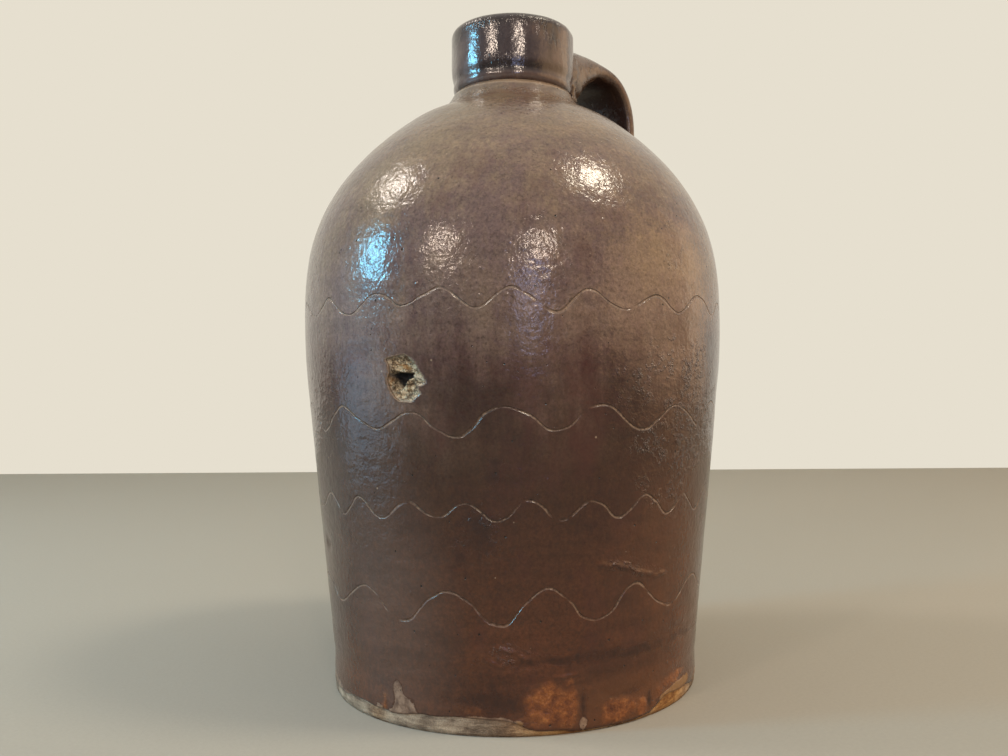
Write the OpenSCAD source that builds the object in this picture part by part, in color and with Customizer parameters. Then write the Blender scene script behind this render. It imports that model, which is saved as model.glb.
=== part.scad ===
// Stoneware jug with a thick collar and a strap handle. Lengths are in millimetres.
// The origin is the centre of the foot, +Z is up and the handle lies towards +X.

/* [Body] */
// Width of the foot that the jug stands on
foot_d = 155; // [140:1:165]
// Width of the widest belt, over the coat
belt_d = 180; // [170:1:200]
// Height of the widest belt above the table
belt_z = 152; // [120:1:170]
// Height of the upright band at the foot
foot_band = 14; // [10:1:24]
// Bevel round the bottom edge
foot_bevel = 1; // [0.5:0.1:2]
// Height over which the straight wall eases into the belt
belt_ease = 28; // [16:1:50]
// Rise of the shoulder from the belt to the neck
shoulder_rise = 84; // [72:1:96]
// How far the shoulder draws in over that rise
shoulder_drop = 42.2; // [36:0.2:48]
// How late the shoulder turns in: 2 is even, 3 is square
shoulder_power = 2.7; // [2.2:0.1:3.2]
// Rise of the neck from the shoulder to the collar
neck_rise = 16.5; // [12:0.5:22]
// Width of the neck under the collar, over the coat
neck_d = 53.4; // [52.6:0.2:58]
// Thickness of the thrown wall
wall_t = 8; // [6:0.5:9]
// Thickness of the floor
floor_t = 10; // [7:0.5:14]
// Radius inside, between the floor and the wall
floor_round = 12; // [8:1:20]
// Width of the throat inside the neck
throat_d = 30; // [29.5:0.5:34]
// Height of the throat's upright wall
throat_h = 8; // [4:0.5:9]

/* [Collar] */
// Height of the collar, over the coat
collar_h = 28.8; // [25:0.2:34]
// Width of the collar at its foot, over the coat
collar_foot_d = 51.4; // [48:0.2:52]
// Width of the collar at its lip, over the coat
collar_lip_d = 54; // [50:0.2:58]
// Height over which the collar draws in to its foot
collar_draw_h = 11; // [6:0.5:16]
// Radius of the lip's outer edge
lip_round = 3; // [1.5:0.5:7]
// Width of the mouth that takes the cork
mouth_d = 28; // [24:0.5:28.5]
// Radius of the mouth's edge
mouth_round = 2.5; // [1:0.5:4]
// Bevel that makes the groove at the collar's foot
groove = 0.8; // [0.4:0.1:1.4]

/* [Handle] */
// Width of the strap along the arch
strap_w = 30; // [24:1:34]
// Width of the strap where it wraps on to the collar
root_w = 37; // [34:1:42]
// Width of the strap where it is pressed on to the shoulder
tail_w = 34; // [30:1:42]
// Thickness of the strap
strap_t = 7; // [5:0.5:8.5]
// Height of the strap's root on the collar
root_h = 25; // [20:1:28]
// How far the root laps down over the neck, below the collar
root_lap = 4; // [0:0.5:6]
// Thickness to which the tail is pressed out at its end
tail_t = 2.6; // [2:0.2:5]
// How far the tail runs out along the shoulder, past the strap
tail_run = 10; // [6:1:14]
// How far the middle of the strap stands out from the jug's axis
reach = 66.2; // [62:0.2:70]
// Height of the arch's middle above the collar's foot
arch_h = 20; // [15:0.5:21]
// Length of the arch's bend, measured outwards
arch_run = 22; // [18:1:25]
// Length of the arch's bend, measured down
arch_fall = 26; // [20:1:28]
// How square the arch's bend is: 2 is an ellipse
bend_power = 2.35; // [2:0.05:2.8]

/* [Coats] */
// Thickness of the outer coat of glaze
coat_t = 0.6; // [0.4:0.1:0.8]
// Thickness of the slip inside
lining_t = 0.5; // [0.3:0.1:0.8]
// Bare height of clay below the coat
bare_h = 6; // [3:0.5:10]

/* [Hidden] */
turn_fn = 160;

// Points along each stretch of the outline
ease_n = 5;
shoulder_n = 20;
neck_n = 7;
draw_n = 4;
round_n = 6;

// Radii and heights of the clay, under the coat
foot_r = foot_d / 2;
belt_r = belt_d / 2 - coat_t;
shoulder_z = belt_z + shoulder_rise;
neck_z = shoulder_z + neck_rise;
neck_r = neck_d / 2 - coat_t;
throat_r = throat_d / 2;
rim_z = neck_z + collar_h - coat_t;
collar_foot_r = collar_foot_d / 2 - coat_t;
lip_r = collar_lip_d / 2 - coat_t;
mouth_r = mouth_d / 2;

// Directions, in degrees above level, in which the neck's outside meets the collar and
// its inside meets the throat
neck_end = 68;
throat_end = 90;
half_share = 0.42;

wall_slope = (belt_r - foot_r) / (belt_z - foot_band - belt_ease / 2);
shoulder_lean = shoulder_drop * shoulder_power / shoulder_rise;
shoulder_end = atan(1 / shoulder_lean);

// Radius of the clay at height z, from the foot to the end of the shoulder
function wall_r(z) =
    z <= foot_band ? foot_r
    : z <= belt_z - belt_ease ? foot_r + wall_slope * (z - foot_band)
    : z <= belt_z ? belt_r - wall_slope * pow(belt_z - z, 2) / (2 * belt_ease)
    : belt_r - shoulder_drop * pow((z - belt_z) / shoulder_rise, shoulder_power);

// Curve from a to b that leaves at angle u and arrives at angle v, both drawing in
function bend(a, b, u, v, n) =
    let (k = norm(b - a) * half_share,
         p = a + k * [-cos(u), sin(u)],
         q = b - k * [-cos(v), sin(v)])
    [for (i = [1 : n]) let (t = i / n, s = 1 - t)
        s * s * s * a + 3 * s * s * t * p + 3 * s * t * t * q + t * t * t * b];

// Quarter circle from angle a to angle b about centre c
function turn(c, r, a, b, n) =
    [for (i = [0 : n]) let (w = a + (b - a) * i / n) c + r * [cos(w), sin(w)]];

// Points moved square to their line, outwards where d is positive
function shift(pts, d) =
    [for (i = [0 : len(pts) - 1])
        let (t = pts[min(i + 1, len(pts) - 1)] - pts[max(i - 1, 0)])
        pts[i] + d * [t[1], -t[0]] / norm(t)];

function backwards(pts) = [for (i = [len(pts) - 1 : -1 : 0]) pts[i]];

// A shifted line with its last point brought back to height z
function level_last(pts, z) =
    [for (i = [0 : len(pts) - 1]) i == len(pts) - 1 ? [pts[i][0], z] : pts[i]];

// A shifted line with its first point brought back on to the axis
function axis_first(pts) =
    [for (i = [0 : len(pts) - 1]) i == 0 ? [0, pts[i][1]] : pts[i]];

upper_line = concat(
    [for (i = [0 : ease_n]) let (z = belt_z - belt_ease * (1 - i / ease_n)) [wall_r(z), z]],
    [for (i = [1 : shoulder_n]) let (z = belt_z + shoulder_rise * i / shoulder_n)
        [wall_r(z), z]]);
shoulder_tip = upper_line[len(upper_line) - 1];
neck_line = bend(shoulder_tip, [neck_r, neck_z], shoulder_end, neck_end, neck_n);

// Outside of the clay from the coat's lower edge to the collar
coated_line = concat([[foot_r, bare_h], [foot_r, foot_band]], upper_line, neck_line);
outer_line = concat([[foot_r - foot_bevel, 0], [foot_r, foot_bevel]],
                    [for (i = [1 : len(coated_line) - 1]) coated_line[i]]);

// Inside of the clay from the middle of the floor to the top of the throat
corner_z = floor_t + floor_round;
corner_r = wall_r(corner_z) - wall_t;
inner_upper = shift(upper_line, -wall_t);
inner_tip = inner_upper[len(inner_upper) - 1];
inner_line = concat(
    [[0, floor_t]],
    turn([corner_r - floor_round, corner_z], floor_round, -90, 0, round_n),
    inner_upper,
    bend(inner_tip, [throat_r, neck_z - throat_h], shoulder_end, throat_end, neck_n),
    [[throat_r, neck_z]]);

// Radius of the collar at height h above the bevel at its foot
function collar_r(h) =
    lip_r - (lip_r - collar_foot_r) * pow(max(1 - h / collar_draw_h, 0), 2);

// Outside of the collar from its foot over the lip to the edge of the mouth
collar_line = concat(
    [[collar_foot_r - groove, neck_z]],
    [for (i = [0 : draw_n]) let (h = collar_draw_h * i / draw_n)
        [collar_r(h), neck_z + groove + h]],
    turn([lip_r - lip_round, rim_z - lip_round], lip_round, 0, 90, round_n),
    [[mouth_r + mouth_round, rim_z]]);

// The mouth's rounded edge, from the rim down to the upright bore
mouth_line = [for (i = [1 : round_n]) let (w = 90 * (1 + i / round_n))
    [mouth_r + mouth_round * (1 + cos(w)), rim_z - mouth_round * (1 - sin(w))]];

module turned(pts) rotate_extrude($fn = turn_fn) polygon(pts);

// Solid forms of the clay, with no hollow, that cut what is pressed against them
module body_form() turned(concat([[0, 0]], outer_line, [[0, neck_z]]));
module collar_form() turned(concat([[0, neck_z]], collar_line, [[0, rim_z]]));

module thrown_body() color("tan")
    turned(concat([[0, 0]], outer_line, backwards(inner_line)));

module neck_collar() color("burlywood")
    turned(concat([[mouth_r, neck_z]], collar_line, mouth_line));

// Middle line of the strap as [distance from the axis, height]
arch_z = neck_z + arch_h;
arch_r = reach - arch_run;
root_z = neck_z + root_h / 2 - root_lap;
bend_z = arch_z - arch_fall;
tail_r = reach + tail_run;
tail_share = pow((belt_r - tail_r) / shoulder_drop, 1 / shoulder_power);
tail_z = belt_z + shoulder_rise * tail_share;
tail_lean = shoulder_lean * pow(tail_share, shoulder_power - 1);
tail_way = [-tail_lean, 1] / norm([tail_lean, 1]);
tail_pull = (bend_z - tail_z) / 2;
root_n = 7;
arch_n = 10;
tail_n = 10;
section_n = 20;
section_power = 2.8;
pull_share = 0.3;
web_power = 1.9;
side_power = 1.3;

function cubic(a, p, q, b, t) =
    let (s = 1 - t)
    s * s * s * a + 3 * s * s * t * p + 3 * s * t * t * q + t * t * t * b;

root_start = [mouth_r / 2, root_z];
strap_line = concat(
    [for (i = [0 : root_n - 1])
        cubic(root_start, [collar_foot_r, root_z + root_lap],
              [collar_foot_r + (arch_r - collar_foot_r) * pull_share, arch_z],
              [arch_r, arch_z], i / root_n)],
    [for (i = [0 : arch_n]) let (w = 90 * (1 - i / arch_n))
        [arch_r + arch_run * pow(cos(w), 2 / bend_power),
         bend_z + arch_fall * pow(sin(w), 2 / bend_power)]],
    [for (i = [1 : tail_n])
        cubic([reach, bend_z], [reach, bend_z - tail_pull],
              [tail_r, tail_z] + tail_way * tail_pull, [tail_r, tail_z], i / tail_n)]);

last = len(strap_line) - 1;
root_end = root_n;
tail_from = root_n + arch_n;

// 1 at a value of a, 0 at a value of b, easing between them
function ease(x, a, b, power) =
    let (t = min(max((x - a) / (b - a), 0), 1)) pow(1 - t, power);

function strap_thick(i) =
    strap_t
    + (root_h - strap_t) * ease(strap_line[i][0], collar_foot_r, arch_r + strap_t, web_power)
      * (i <= root_end + 2 ? 1 : 0)
    + (tail_t - strap_t) * (i > tail_from ? pow((i - tail_from) / tail_n, 3) : 0);

function strap_wide(i) =
    strap_w
    + (root_w - strap_w) * (i <= root_end ? ease(strap_line[i][0], mouth_r, arch_r, side_power) : 0)
    + (tail_w - strap_w) * (i > tail_from ? pow((i - tail_from) / tail_n, 2) : 0);

// Rounded outline of the strap at one place along its line, grown by the coat
function strap_ring(i, grow) =
    let (way = strap_line[min(i + 1, last)] - strap_line[max(i - 1, 0)],
         t = way / norm(way),
         n = [-t[1], t[0]],
         c = strap_line[i] + (i == last ? grow : 0) * t,
         a = strap_thick(i) / 2 + grow,
         b = strap_wide(i) / 2 + grow)
    [for (k = [0 : section_n - 1])
        let (w = 360 * k / section_n,
             u = a * sign(cos(w)) * pow(abs(cos(w)), 2 / section_power),
             v = b * sign(sin(w)) * pow(abs(sin(w)), 2 / section_power))
        [c[0] + u * n[0], v, c[1] + u * n[1]]];

module strap_form(grow) {
    pts = [for (i = [0 : last]) each strap_ring(i, grow)];
    sides = [for (i = [0 : last - 1], k = [0 : section_n - 1])
        let (a = i * section_n + k,
             b = i * section_n + (k + 1) % section_n,
             c = a + section_n,
             d = b + section_n)
        each [[a, b, d], [a, d, c]]];
    ends = [[for (k = [section_n - 1 : -1 : 0]) k],
            [for (k = [0 : section_n - 1]) last * section_n + k]];
    polyhedron(pts, concat(sides, ends), convexity = 4);
}

module strap_handle() color("sienna")
    difference() {
        strap_form(0);
        body_form();
        collar_form();
    }

// Coats, each lying on its clay
module body_glaze() color("saddlebrown")
    difference() {
        turned(concat(coated_line,
                      backwards(level_last(shift(coated_line, coat_t), neck_z))));
        strap_form(coat_t);
    }

module collar_glaze() color("#3a2418")
    difference() {
        turned(concat(collar_line, backwards(shift(collar_line, coat_t))));
        strap_form(coat_t);
    }

module handle_glaze() color("#5a3a28")
    difference() {
        strap_form(coat_t);
        strap_form(0);
        body_form();
        collar_form();
    }

module lining_glaze() color("#4a2c1c")
    turned(concat(inner_line, backwards(axis_first(shift(inner_line, -lining_t)))));

thrown_body();
neck_collar();
strap_handle();
body_glaze();
collar_glaze();
handle_glaze();
lining_glaze();
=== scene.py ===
from math import atan2, copysign, cos, degrees, exp, hypot, radians, sin, sqrt, tau

import bmesh
import bpy
import numpy as np
from mathutils import Matrix, Vector, noise


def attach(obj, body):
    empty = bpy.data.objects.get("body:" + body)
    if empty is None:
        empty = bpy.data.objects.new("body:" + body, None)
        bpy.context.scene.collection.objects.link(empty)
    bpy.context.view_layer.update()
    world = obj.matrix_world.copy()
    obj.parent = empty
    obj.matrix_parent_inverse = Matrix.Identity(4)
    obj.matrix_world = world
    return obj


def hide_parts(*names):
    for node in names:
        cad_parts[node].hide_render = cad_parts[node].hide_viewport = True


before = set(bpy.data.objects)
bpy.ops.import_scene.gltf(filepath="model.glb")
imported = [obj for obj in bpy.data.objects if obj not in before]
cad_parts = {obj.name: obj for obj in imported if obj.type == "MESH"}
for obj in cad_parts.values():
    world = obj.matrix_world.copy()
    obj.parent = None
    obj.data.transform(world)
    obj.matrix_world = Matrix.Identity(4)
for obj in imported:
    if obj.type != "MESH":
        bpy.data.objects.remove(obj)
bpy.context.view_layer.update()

MM = 0.001
# Bearings are in degrees round the jug, 0 at the handle. The camera faces this one.
FRONT = -137.0

# Sizes of the jug as in the CAD source, in millimetres, with angles in degrees
FOOT_R = 77.5
FOOT_BAND = 14.0
FOOT_BEVEL = 1.0
BELT_R = 89.4
BELT_Z = 152.0
BELT_EASE = 28.0
SHOULDER_RISE = 84.0
SHOULDER_DROP = 42.2
SHOULDER_POWER = 2.7
NECK_R = 26.1
NECK_Z = 252.5
NECK_END = 68.0
WALL = 8.0
FLOOR = 10.0
FLOOR_ROUND = 12.0
THROAT_R = 15.0
THROAT_H = 8.0
COAT = 0.6
COLLAR_FOOT_R = 25.1
COLLAR_DRAW = 11.0
COLLAR_LIP_R = 26.4
COLLAR_TOP = 280.7
LIP_ROUND = 3.0
MOUTH_R = 14.0
MOUTH_ROUND = 2.5
GROOVE = 0.8
STRAP_W, ROOT_W, TAIL_W = 30.0, 37.0, 34.0
STRAP_T, ROOT_H, ROOT_LAP, TAIL_T = 7.0, 25.0, 4.0, 2.6
REACH, TAIL_RUN = 66.2, 10.0
ARCH_H, ARCH_RUN, ARCH_FALL = 20.0, 22.0, 26.0
BEND_POWER, SECTION_POWER = 2.35, 2.8


# ---- The outline of the pot


def wall_r(z):
    """Radius of the bare clay at height z, up to the end of the shoulder"""
    slope = (BELT_R - FOOT_R) / (BELT_Z - FOOT_BAND - BELT_EASE / 2)
    if z <= FOOT_BAND:
        return FOOT_R
    if z <= BELT_Z - BELT_EASE:
        return FOOT_R + slope * (z - FOOT_BAND)
    if z <= BELT_Z:
        return BELT_R - slope * (BELT_Z - z) ** 2 / (2 * BELT_EASE)
    return BELT_R - SHOULDER_DROP * ((z - BELT_Z) / SHOULDER_RISE) ** SHOULDER_POWER


def cubic(a, p, q, b, t):
    """Point at share t of the curve from a to b, drawn by p and q"""
    a, p, q, b = (np.asarray(v, float) for v in (a, p, q, b))
    s = 1 - t
    return s**3 * a + 3 * s * s * t * p + 3 * s * t * t * q + t**3 * b


def draw_in(a, b, start, end, n):
    """Curve from a to b that leaves and arrives at these angles above level"""
    a, b = np.asarray(a, float), np.asarray(b, float)
    k = np.linalg.norm(b - a) * 0.42
    u, v = radians(start), radians(end)
    p = a + k * np.array([-cos(u), sin(u)])
    q = b - k * np.array([-cos(v), sin(v)])
    return [cubic(a, p, q, b, i / n) for i in range(1, n + 1)]


def shifted(line, d):
    """The line moved square to itself, outwards where d is positive"""
    line = np.asarray(line, float)
    way = np.gradient(line, axis=0)
    way /= np.linalg.norm(way, axis=1)[:, None]
    return line + d * np.stack([way[:, 1], -way[:, 0]], 1)


SHOULDER_Z = BELT_Z + SHOULDER_RISE
SHOULDER_END = degrees(atan2(SHOULDER_RISE, SHOULDER_DROP * SHOULDER_POWER))
CLAY_LINE = [[wall_r(z), z] for z in np.arange(0, SHOULDER_Z + 0.01, 0.5)]
CLAY_LINE += draw_in(CLAY_LINE[-1], [NECK_R, NECK_Z], SHOULDER_END, NECK_END, 30)
CLAY_LINE = np.array(CLAY_LINE)
COAT_LINE = shifted(CLAY_LINE, COAT)


def clay_r(z):
    """Radius of the turned clay at height z"""
    return np.interp(z, CLAY_LINE[:, 1], CLAY_LINE[:, 0])


def coat_r(z):
    """Radius of the coat over it"""
    return np.interp(z, COAT_LINE[:, 1], COAT_LINE[:, 0])


def collar_r(z):
    """Radius of the collar's clay, which draws in to its foot"""
    share = np.clip(1 - (z - NECK_Z - GROOVE) / COLLAR_DRAW, 0, 1)
    return COLLAR_LIP_R - (COLLAR_LIP_R - COLLAR_FOOT_R) * share**2


# ---- What hands, wheel and kiln left on it


def smooth(x):
    """Eased step from 0 to 1"""
    x = np.clip(x, 0, 1)
    return x * x * (3 - 2 * x)


def around(bearing, centre):
    """Signed difference of two bearings, from -180 to 180"""
    return (bearing - centre + 180) % 360 - 180


def rough(bearing, z, size, seed=0.0):
    """Smooth noise over the wall, from about -1 to 1, with features of this size"""
    w = radians(bearing)
    r = 85.0 / size
    return noise.noise(Vector((r * cos(w) + seed, r * sin(w), z / size)))


# Dents, drag marks and lumps: bearing, height, half length, half height, tilt, depth
MARKS = (
    (-110.5, 60.2, 5.0, 0.8, -8, -0.62), (-105.5, 58.6, 4.6, 0.7, -20, -0.72),
    (-99.0, 55.6, 5.2, 0.8, -12, -0.66), (-93.5, 53.8, 3.6, 0.7, 10, -0.58),
    (-137.6, 31.6, 3.6, 0.7, -18, -0.60), (-133.0, 28.6, 3.0, 0.6, -38, -0.56),
    (-140.4, 26.6, 4.0, 0.7, -24, -0.60), (-121.0, 21.2, 4.2, 0.6, 6, -0.56),
    (-149.1, 60.8, 2.2, 0.5, 14, 0.50), (-200.2, 62.7, 3.0, 2.4, 0, 0.55),
    (-172.4, 19.9, 1.6, 3.0, 12, 0.35), (-60.0, 120.0, 16.0, 9.0, 8, 0.35),
    (20.0, 96.0, 20.0, 12.0, -10, 0.45), (96.0, 140.0, 14.0, 16.0, 0, 0.40),
    (52.0, 44.0, 12.0, 2.0, -6, 0.30), (120.0, 60.0, 9.0, 2.0, 14, -0.30),
)
# Long drag lines near the foot: height, rise per degree, width, depth
DRAGS = ((25, 0.10, 1.2, 0.30), (34, 0.07, 1.4, 0.22), (19, 0.05, 1.0, 0.22), (64, -0.05, 1.6, 0.14))
# The surface lies this far in on average, so that its lumps stay within the turned form
HAND_DEPTH = 0.60


def pressed(bearing, z):
    """How far the surface lies in from the true turned form, in millimetres"""
    w = radians(bearing)
    depth = HAND_DEPTH
    # It is a little out of round, with soft swells
    depth += 0.11 * cos(2 * w + 0.9) + 0.06 * cos(3 * w - 0.4 + z / 90)
    depth += 0.16 * rough(bearing, z, 46, 3.1) + 0.07 * rough(bearing, z, 17, 8.4)
    # Throwing rings climb a little as the pot turns, and a rib has nearly smoothed them
    climb = z - 7.0 * w / tau
    rings = noise.noise(Vector((climb / 3.4, 0.35 * w, 5.0)))
    rings += 0.8 * noise.noise(Vector((climb / 8.5, 0.2 * w, 9.0)))
    depth += rings * (0.05 + 0.09 * smooth((z - 205) / 30) + 0.04 * smooth((60 - z) / 40))
    for level, rise, width, cut in DRAGS:
        off = z - level - rise * around(bearing, FRONT) - 1.2 * rough(bearing, 0, 30, level)
        depth += cut * exp(-((off / width) ** 2)) * (0.5 + 0.5 * rough(bearing, 0, 22, 2))
    for at, height, long, high, tilt, deep in MARKS:
        across = radians(around(bearing, at)) * coat_r(z)
        up = z - height
        if abs(across) > 3 * long + 3 or abs(up) > 3 * long + 3:
            continue
        c, s = cos(radians(tilt)), sin(radians(tilt))
        x, y = (across * c + up * s) / long, (up * c - across * s) / high
        if deep < 0:
            y += 0.5 * rough(bearing, z, 2.6, 6)
            deep *= 0.8 + 1.1 * rough(bearing, z, 1.5, 9)
        depth += deep * exp(-(x * x) ** 2 - y * y)
    return max(depth, 0.02)


# The chip knocked out of the front: its outline and the hole in it, as bearing and height
CHIP = (
    (-165.9, 134.7), (-163.6, 135.5), (-160.6, 136.2), (-159.4, 135.2), (-158.1, 133.4),
    (-157.2, 130.9), (-156.2, 128.8), (-155.4, 126.3), (-156.1, 125.3), (-157.6, 125.0),
    (-157.0, 122.3), (-157.7, 121.5), (-159.4, 119.4), (-162.5, 119.7), (-163.7, 120.9),
    (-164.7, 122.9), (-165.5, 125.2), (-165.6, 127.6), (-165.0, 129.7), (-165.1, 132.5),
)
HOLE = (
    (-165.2, 128.9), (-163.9, 130.0), (-159.4, 129.6), (-159.6, 128.0), (-160.8, 127.0),
    (-161.5, 125.2), (-162.6, 123.8), (-164.2, 126.6),
)
# Its middle, and how far from there it can reach, in millimetres
CHIP_AT = (-160.8, 128.0)
CHIP_SPAN = 14


def from_chip(bearing, z):
    """Millimetres across and up from the chip's middle"""
    across = np.radians(around(bearing, CHIP_AT[0])) * coat_r(CHIP_AT[1])
    return np.stack([across, z - CHIP_AT[1]], 1)


CHIP_EDGE, HOLE_EDGE = (from_chip(*np.array(outline).T) for outline in (CHIP, HOLE))


def inside(points, outline):
    """Distance in from the outline, in millimetres, negative outside it"""
    a, b = outline, np.roll(outline, -1, axis=0)
    d = b - a
    p = points[:, None, :] - a[None]
    t = np.clip((p * d[None]).sum(2) / (d * d).sum(1)[None], 0, 1)
    far = np.linalg.norm(p - t[..., None] * d[None], axis=2).min(1)
    x, y = points[:, :1], points[:, 1:]
    crosses = ((a[:, 1][None] > y) != (b[:, 1][None] > y)) & (
        x < d[:, 0] * (y - a[:, 1]) / np.where(d[:, 1] == 0, 1e-9, d[:, 1]) + a[:, 0]
    )
    return np.where(crosses.sum(1) % 2 == 1, far, -far)


# ---- Modelling by hand: outlines are drawn, spun, refined and pressed


def mode(name):
    bpy.ops.object.mode_set(mode=name)


def fresh(name):
    """Name the new primitive, put it in edit mode and hand it over"""
    obj = bpy.context.object
    obj.name = obj.data.name = name
    mode("EDIT")
    return obj


def arcs(half, fine, coarse):
    """Steps round the jug, fine over the front and coarser over the back"""
    return (FRONT - half, FRONT + half, fine), (FRONT + half, FRONT + 360 - half, coarse)


def throw(name, line, turns):
    """Draw an outline up from one point, then spin it round the axis arc by arc"""
    line = np.asarray(line, float) * MM
    start = turns[0][0]
    out = Vector((cos(radians(start)), sin(radians(start)), 0))
    bpy.ops.object.select_all(action="DESELECT")
    lowest = out * line[0][0] + Vector((0, 0, line[0][1]))
    bpy.ops.mesh.primitive_plane_add(size=0.01, location=lowest)
    obj = fresh(name)
    mode("OBJECT")
    bpy.ops.object.transform_apply()
    mode("EDIT")
    bpy.ops.mesh.select_mode(type="VERT")
    bpy.ops.mesh.merge(type="CENTER")
    for a, b in zip(line[:-1], line[1:]):
        step = out * (b[0] - a[0]) + Vector((0, 0, b[1] - a[1]))
        bpy.ops.mesh.extrude_vertices_move(TRANSFORM_OT_translate={"value": step})
    bpy.ops.mesh.select_all(action="SELECT")
    for begin, end, steps in turns:
        angle = radians(end - begin)
        bpy.ops.mesh.spin(steps=steps, angle=angle, center=(0, 0, 0), axis=(0, 0, 1))
    bpy.ops.mesh.select_all(action="SELECT")
    bpy.ops.mesh.remove_doubles(threshold=0.00001)
    bpy.ops.mesh.normals_make_consistent(inside=False)
    mode("OBJECT")
    return obj


def polar(obj):
    """Every vertex as bearing in degrees, radius and height in millimetres"""
    co = np.empty(len(obj.data.vertices) * 3)
    obj.data.vertices.foreach_get("co", co)
    co = co.reshape(-1, 3) / MM
    return np.degrees(np.arctan2(co[:, 1], co[:, 0])), np.hypot(co[:, 0], co[:, 1]), co[:, 2].copy()


def put(obj, bearing, r, z):
    """Move every vertex to its bearing, radius and height"""
    w = np.radians(bearing)
    co = np.stack([r * np.cos(w), r * np.sin(w), z], 1) * MM
    obj.data.vertices.foreach_set("co", co.ravel())
    obj.data.update()


def pick(obj, test):
    """Select in edit mode the faces whose middle passes a test of bearing, r and z"""
    bpy.context.view_layer.objects.active = obj
    obj.select_set(True)
    mode("EDIT")
    bpy.ops.mesh.select_mode(type="FACE")
    bpy.ops.mesh.select_all(action="DESELECT")
    mesh = bmesh.from_edit_mesh(obj.data)
    found = 0
    for face in mesh.faces:
        c = face.calc_center_median() / MM
        if test(degrees(atan2(c.y, c.x)), hypot(c.x, c.y), c.z):
            face.select = True
            found += 1
    bmesh.update_edit_mesh(obj.data)
    return found


def refine(obj, cuts, test):
    """Give some faces more points, so that they can hold finer marks"""
    if pick(obj, test):
        bpy.ops.mesh.subdivide(number_cuts=cuts)
    mode("OBJECT")


def near_chip(reach):
    """A test for places on the outside that lie in the chip or this close to it"""

    def test(bearing, r, z):
        if r <= 80:
            return False
        at = [radians(around(bearing, CHIP_AT[0])) * r, z - CHIP_AT[1]]
        return inside(np.array([at]), CHIP_EDGE)[0] > -reach

    return test


def brush(obj, name, value):
    """Give every vertex its value of an attribute that the materials read"""
    obj.data.attributes.new(name, "FLOAT", "POINT").data.foreach_set("value", value)


def paint(obj, name, patches, base=0.0):
    """Brush soft patches over a base: bearing, height, half width, half height, tilt, strength"""
    bearing, r, z = polar(obj)
    value = np.full(len(z), base)
    for at, height, wide, high, tilt, strength in patches:
        across = np.radians(around(bearing, at)) * np.maximum(r, 1)
        up = z - height
        c, s = cos(radians(tilt)), sin(radians(tilt))
        d = np.hypot((across * c + up * s) / wide, (up * c - across * s) / high)
        value = np.maximum(value, strength * np.clip(1.5 - d, 0, 1))
    brush(obj, name, value)


def thicken(obj, mm):
    """Give a shell its thickness, inwards"""
    bpy.context.view_layer.objects.active = obj
    obj.select_set(True)
    shell = obj.modifiers.new("thickness", "SOLIDIFY")
    shell.thickness = mm * MM
    shell.offset = -1
    shell.use_rim = True
    bpy.ops.object.modifier_apply(modifier=shell.name)


def finish(obj, replaced, material):
    """Smooth and dress a finished piece and tell the frame what it is"""
    obj.data.shade_smooth()
    obj.data.materials.append(material)
    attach(obj, "root")
    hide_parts(*replaced)


# ---- Materials

# Scribed waves: height, swing up and down, waves round the pot, phase
SCRIBED = ((155.0, 3.2, 21, 0.6), (113.0, 4.2, 16, 2.1), (81.0, 3.4, 23, 4.0), (46.0, 5.0, 14, 1.2))
# The wall's mean radius there, and how far the hand wandered up and down
SCRIBED_R = 88.0
WANDER = 12.0


def hue(code):
    """An sRGB hex colour as linear RGBA"""
    parts = [int(code[i : i + 2], 16) / 255 for i in (1, 3, 5)]
    return tuple(c / 12.92 if c <= 0.04045 else ((c + 0.055) / 1.055) ** 2.4 for c in parts) + (1.0,)


def add(tree, kind, links=(), stops=(), **settings):
    """Add one node with its settings and values. A mix is of colours unless told otherwise.
    A node given as a value is linked by its result, the third output of a mix of colours."""
    new = tree.nodes.new("ShaderNode" + kind)
    if kind == "Mix":
        new.data_type = "RGBA"
    for key, value in settings.items():
        setattr(new, key, value)
    for key, value in dict(links).items():
        if isinstance(value, bpy.types.Node):
            colours = value.bl_idname == "ShaderNodeMix" and value.data_type == "RGBA"
            value = value.outputs[2 if colours else 0]
        if isinstance(value, bpy.types.NodeSocket):
            tree.links.new(value, new.inputs[key])
        else:
            new.inputs[key].default_value = value
    if stops:
        ramp = new.color_ramp
        while len(ramp.elements) < len(stops):
            ramp.elements.new(0.5)
        for element, (place, colour) in zip(ramp.elements, stops):
            element.position = place
            element.color = hue(colour)
    return new


def blank(name):
    """A new material, its empty tree, and the place on the piece for its patterns"""
    material = bpy.data.materials.new(name)
    material.use_nodes = True
    tree = material.node_tree
    tree.nodes.clear()
    return material, tree, add(tree, "TexCoord").outputs["Object"]


def per(mm):
    """Texture scale that gives features of this size in millimetres"""
    return 1.0 / (mm * MM)


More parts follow.
